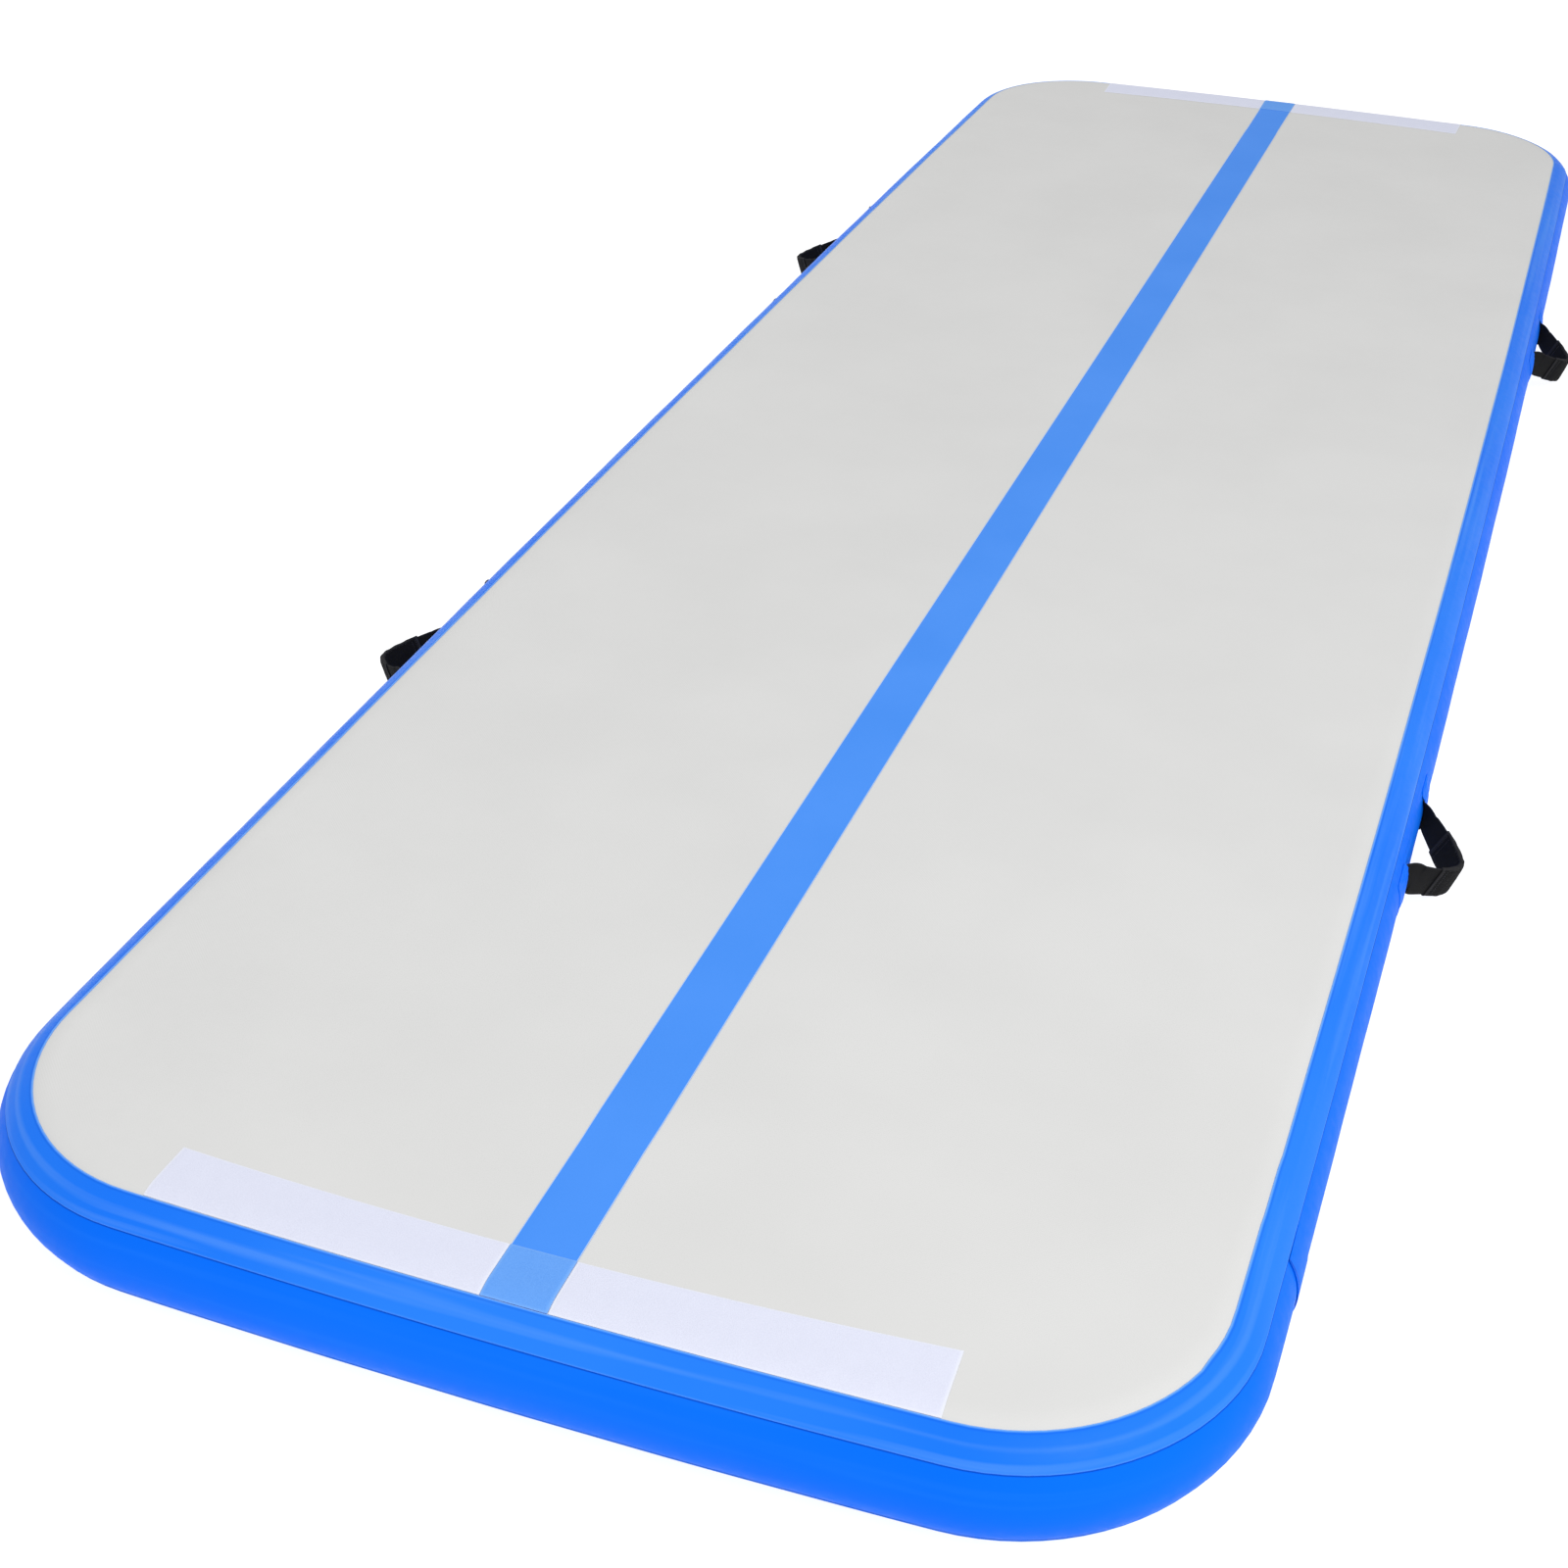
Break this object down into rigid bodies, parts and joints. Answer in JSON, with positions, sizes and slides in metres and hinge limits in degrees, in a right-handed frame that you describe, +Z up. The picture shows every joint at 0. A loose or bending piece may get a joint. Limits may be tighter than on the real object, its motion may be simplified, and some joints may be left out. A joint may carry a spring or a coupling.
{
  "type": "air track mat",
  "caption": "Long inflatable drop-stitch tumbling mat with rounded corners, centre stripe, hook-and-loop ends, side grab handles and an inflation valve.",
  "frame": {"origin": "on the floor, under the centre of the mat", "axes": "+Y along the mat's length, +X across it to the handles and away from the valve side, +Z up"},
  "size_m": [2.2053, 6.1, 0.2027],
  "materials": {
    "grey_pvc": "satin coated cloth, fine woven grain",
    "blue_pvc": "smooth coated cloth, soft gloss",
    "band_blue_pvc": "smooth coated tape, soft gloss",
    "inner_tape": "plain sealing tape",
    "polyester_yarn": "white polyester yarn",
    "stripe_blue": "printed stripe on coated cloth",
    "hook_white": "white hook tape",
    "loop_blue": "light blue brushed loop tape",
    "webbing_black": "black polyester webbing",
    "ring_black": "moulded nylon",
    "valve_grey": "moulded nylon",
    "rubber_black": "moulded rubber",
    "spring_steel": "bright drawn wire"
  },
  "bodies": {
    "mat": {"bottom_skin": "grey_pvc", "centre_stripe": "stripe_blue", "d_ring_far_patch": "blue_pvc", "d_ring_far_tab": "blue_pvc", "d_ring_near_patch": "blue_pvc", "d_ring_near_tab": "blue_pvc", "drop_stitch_row_1": "polyester_yarn", "drop_stitch_row_2": "polyester_yarn", "drop_stitch_row_3": "polyester_yarn", "drop_stitch_row_4": "polyester_yarn", "drop_stitch_row_5": "polyester_yarn", "drop_stitch_row_6": "polyester_yarn", "far_centre_loop_tape": "loop_blue", "far_left_hook_tape": "hook_white", "far_right_hook_tape": "hook_white", "handle_far_left_far_patch": "blue_pvc", "handle_far_left_near_patch": "blue_pvc", "handle_far_right_far_patch": "blue_pvc", "handle_far_right_near_patch": "blue_pvc", "handle_near_left_far_patch": "blue_pvc", "handle_near_left_near_patch": "blue_pvc", "handle_near_right_far_patch": "blue_pvc", "handle_near_right_near_patch": "blue_pvc", "lower_inner_seal_tape": "inner_tape", "lower_seam_band": "band_blue_pvc", "near_centre_loop_tape": "loop_blue", "near_left_hook_tape": "hook_white", "near_right_hook_tape": "hook_white", "side_wall_left_near": "blue_pvc", "side_wall_right_far": "blue_pvc", "top_skin": "grey_pvc", "upper_inner_seal_tape": "inner_tape", "upper_seam_band": "band_blue_pvc", "valve_body": "valve_grey", "valve_clamp_ring": "valve_grey", "valve_gasket": "rubber_black", "valve_spring": "spring_steel", "wall_joint_tape_left": "blue_pvc", "wall_joint_tape_right": "blue_pvc"},
    "handle_near_right_loop": {"handle_near_right_webbing": "webbing_black", "handle_near_right_grip_sleeve": "webbing_black"},
    "handle_far_right_loop": {"handle_far_right_webbing": "webbing_black", "handle_far_right_grip_sleeve": "webbing_black"},
    "handle_near_left_loop": {"handle_near_left_webbing": "webbing_black", "handle_near_left_grip_sleeve": "webbing_black"},
    "handle_far_left_loop": {"handle_far_left_webbing": "webbing_black", "handle_far_left_grip_sleeve": "webbing_black"},
    "d_ring_near_loop": {"d_ring_near_ring": "ring_black"},
    "d_ring_far_loop": {"d_ring_far_ring": "ring_black"},
    "valve_plunger": {"valve_plunger": "ring_black", "valve_plunger_seal": "rubber_black"},
    "valve_cap_leash": {"valve_cap_leash": "rubber_black"},
    "valve_cap": {"valve_cap": "valve_grey", "valve_cap_o_ring": "rubber_black"}
  },
  "joints": [
    {"name": "handle_near_right_flop", "type": "hinge", "parent": "mat", "child": "handle_near_right_loop", "pos_m": [0.99969, -1.25, 0.1], "axis": [0, -1, 0], "range_deg": [-12, 78], "stiffness_Nm_per_rad": 1, "springref_deg": 3.72},
    {"name": "handle_far_right_flop", "type": "hinge", "parent": "mat", "child": "handle_far_right_loop", "pos_m": [0.99929, 1.32, 0.1], "axis": [0, -1, 0], "range_deg": [-12, 78], "stiffness_Nm_per_rad": 1, "springref_deg": 3.72},
    {"name": "handle_near_left_flop", "type": "hinge", "parent": "mat", "child": "handle_near_left_loop", "pos_m": [-0.99935, -1.31, 0.1], "axis": [0, 1, 0], "range_deg": [-12, 78], "stiffness_Nm_per_rad": 1, "springref_deg": 3.72},
    {"name": "handle_far_left_flop", "type": "hinge", "parent": "mat", "child": "handle_far_left_loop", "pos_m": [-0.99981, 1.23, 0.1], "axis": [0, 1, 0], "range_deg": [-12, 78], "stiffness_Nm_per_rad": 1, "springref_deg": 3.72},
    {"name": "d_ring_near_swing", "type": "hinge", "parent": "mat", "child": "d_ring_near_loop", "pos_m": [-1.00452, -1.02, 0.108], "axis": [0, 0, 1], "range_deg": [-7, 150]},
    {"name": "d_ring_far_swing", "type": "hinge", "parent": "mat", "child": "d_ring_far_loop", "pos_m": [-1.00117, 1.6, 0.108], "axis": [0, 0, 1], "range_deg": [-7, 150]},
    {"name": "valve_plunger_press", "type": "slide", "parent": "mat", "child": "valve_plunger", "axis": [1, 0, 0], "range_m": [0, 0.006], "stiffness_N_per_m": 600, "springref_m": -0.004, "deforming": ["valve_spring"]},
    {"name": "valve_cap_lift", "type": "slide", "parent": "mat", "child": "valve_cap_leash", "axis": [-1, 0, 0], "range_m": [0, 0.00501]},
    {"name": "valve_cap_turn", "type": "hinge", "parent": "valve_cap_leash", "child": "valve_cap", "pos_m": [-1, 0.772, 0.1], "axis": [-1, 0, 0], "range_deg": [0, 360]}
  ],
  "couplings": [
    {"joint": "valve_cap_lift", "follows": "valve_cap_turn", "m_per_rad": 0.0007958}
  ]
}
